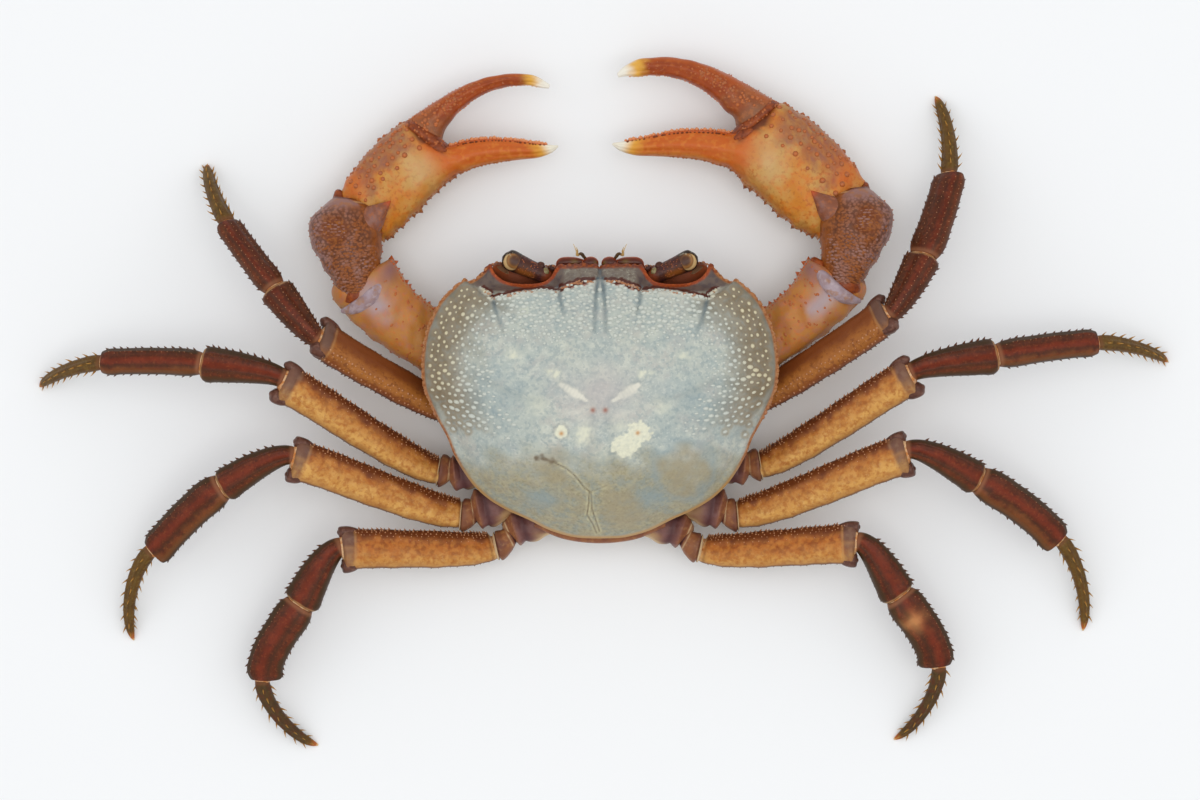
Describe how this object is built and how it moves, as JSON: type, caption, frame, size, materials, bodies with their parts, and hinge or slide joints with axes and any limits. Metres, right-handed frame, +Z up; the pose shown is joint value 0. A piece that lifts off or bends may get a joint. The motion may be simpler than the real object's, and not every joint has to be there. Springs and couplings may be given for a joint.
{
  "type": "freshwater crab model",
  "caption": "Life-size still model of a freshwater crab with a domed shell, spread walking legs and open claws, resting on its belly and toe tips.",
  "frame": {"origin": "on the flat underside of the belly plate, on the midline, where the crab rests on the floor", "axes": "+Z up out of the back shell, +Y towards the crab's front, +X across the body to the side shown at the right of the picture"},
  "size_m": [0.1963, 0.1191, 0.0275],
  "materials": {
    "carapace_shell": "satin",
    "thorax_shell": "satin",
    "leg_ochre_shell": "satin",
    "leg_dark_shell": "satin",
    "toe_shell": "satin",
    "claw_orange_shell": "satin",
    "claw_finger_shell": "satin",
    "eye_shell": "gloss",
    "mouth_shell": "satin"
  },
  "bodies": {
    "root": {"abdomen": "thorax_shell", "antenna_left": "mouth_shell", "antenna_right": "mouth_shell", "carapace": "carapace_shell", "cheliped_left_base": "claw_orange_shell", "cheliped_left_carpus": "claw_orange_shell", "cheliped_left_dactylus": "claw_finger_shell", "cheliped_left_merus": "claw_orange_shell", "cheliped_left_propodus": "claw_orange_shell", "cheliped_right_base": "claw_orange_shell", "cheliped_right_carpus": "claw_orange_shell", "cheliped_right_dactylus": "claw_finger_shell", "cheliped_right_merus": "claw_orange_shell", "cheliped_right_propodus": "claw_orange_shell", "eye_left": "eye_shell", "eye_right": "eye_shell", "leg_left_2_base": "leg_ochre_shell", "leg_left_2_carpus": "leg_dark_shell", "leg_left_2_dactylus": "toe_shell", "leg_left_2_merus": "leg_ochre_shell", "leg_left_2_propodus": "leg_dark_shell", "leg_left_3_base": "leg_ochre_shell", "leg_left_3_carpus": "leg_dark_shell", "leg_left_3_dactylus": "toe_shell", "leg_left_3_merus": "leg_ochre_shell", "leg_left_3_propodus": "leg_dark_shell", "leg_left_4_base": "leg_ochre_shell", "leg_left_4_carpus": "leg_dark_shell", "leg_left_4_dactylus": "toe_shell", "leg_left_4_merus": "leg_ochre_shell", "leg_left_4_propodus": "leg_dark_shell", "leg_left_5_base": "leg_ochre_shell", "leg_left_5_carpus": "leg_dark_shell", "leg_left_5_dactylus": "toe_shell", "leg_left_5_merus": "leg_ochre_shell", "leg_left_5_propodus": "leg_dark_shell", "leg_right_2_base": "leg_ochre_shell", "leg_right_2_carpus": "leg_dark_shell", "leg_right_2_dactylus": "toe_shell", "leg_right_2_merus": "leg_ochre_shell", "leg_right_2_propodus": "leg_dark_shell", "leg_right_3_base": "leg_ochre_shell", "leg_right_3_carpus": "leg_dark_shell", "leg_right_3_dactylus": "toe_shell", "leg_right_3_merus": "leg_ochre_shell", "leg_right_3_propodus": "leg_dark_shell", "leg_right_4_base": "leg_ochre_shell", "leg_right_4_carpus": "leg_dark_shell", "leg_right_4_dactylus": "toe_shell", "leg_right_4_merus": "leg_ochre_shell", "leg_right_4_propodus": "leg_dark_shell", "leg_right_5_base": "leg_ochre_shell", "leg_right_5_carpus": "leg_dark_shell", "leg_right_5_dactylus": "toe_shell", "leg_right_5_merus": "leg_ochre_shell", "leg_right_5_propodus": "leg_dark_shell", "maxilliped_left": "mouth_shell", "maxilliped_right": "mouth_shell", "thorax": "thorax_shell"}
  },
  "joints": []
}
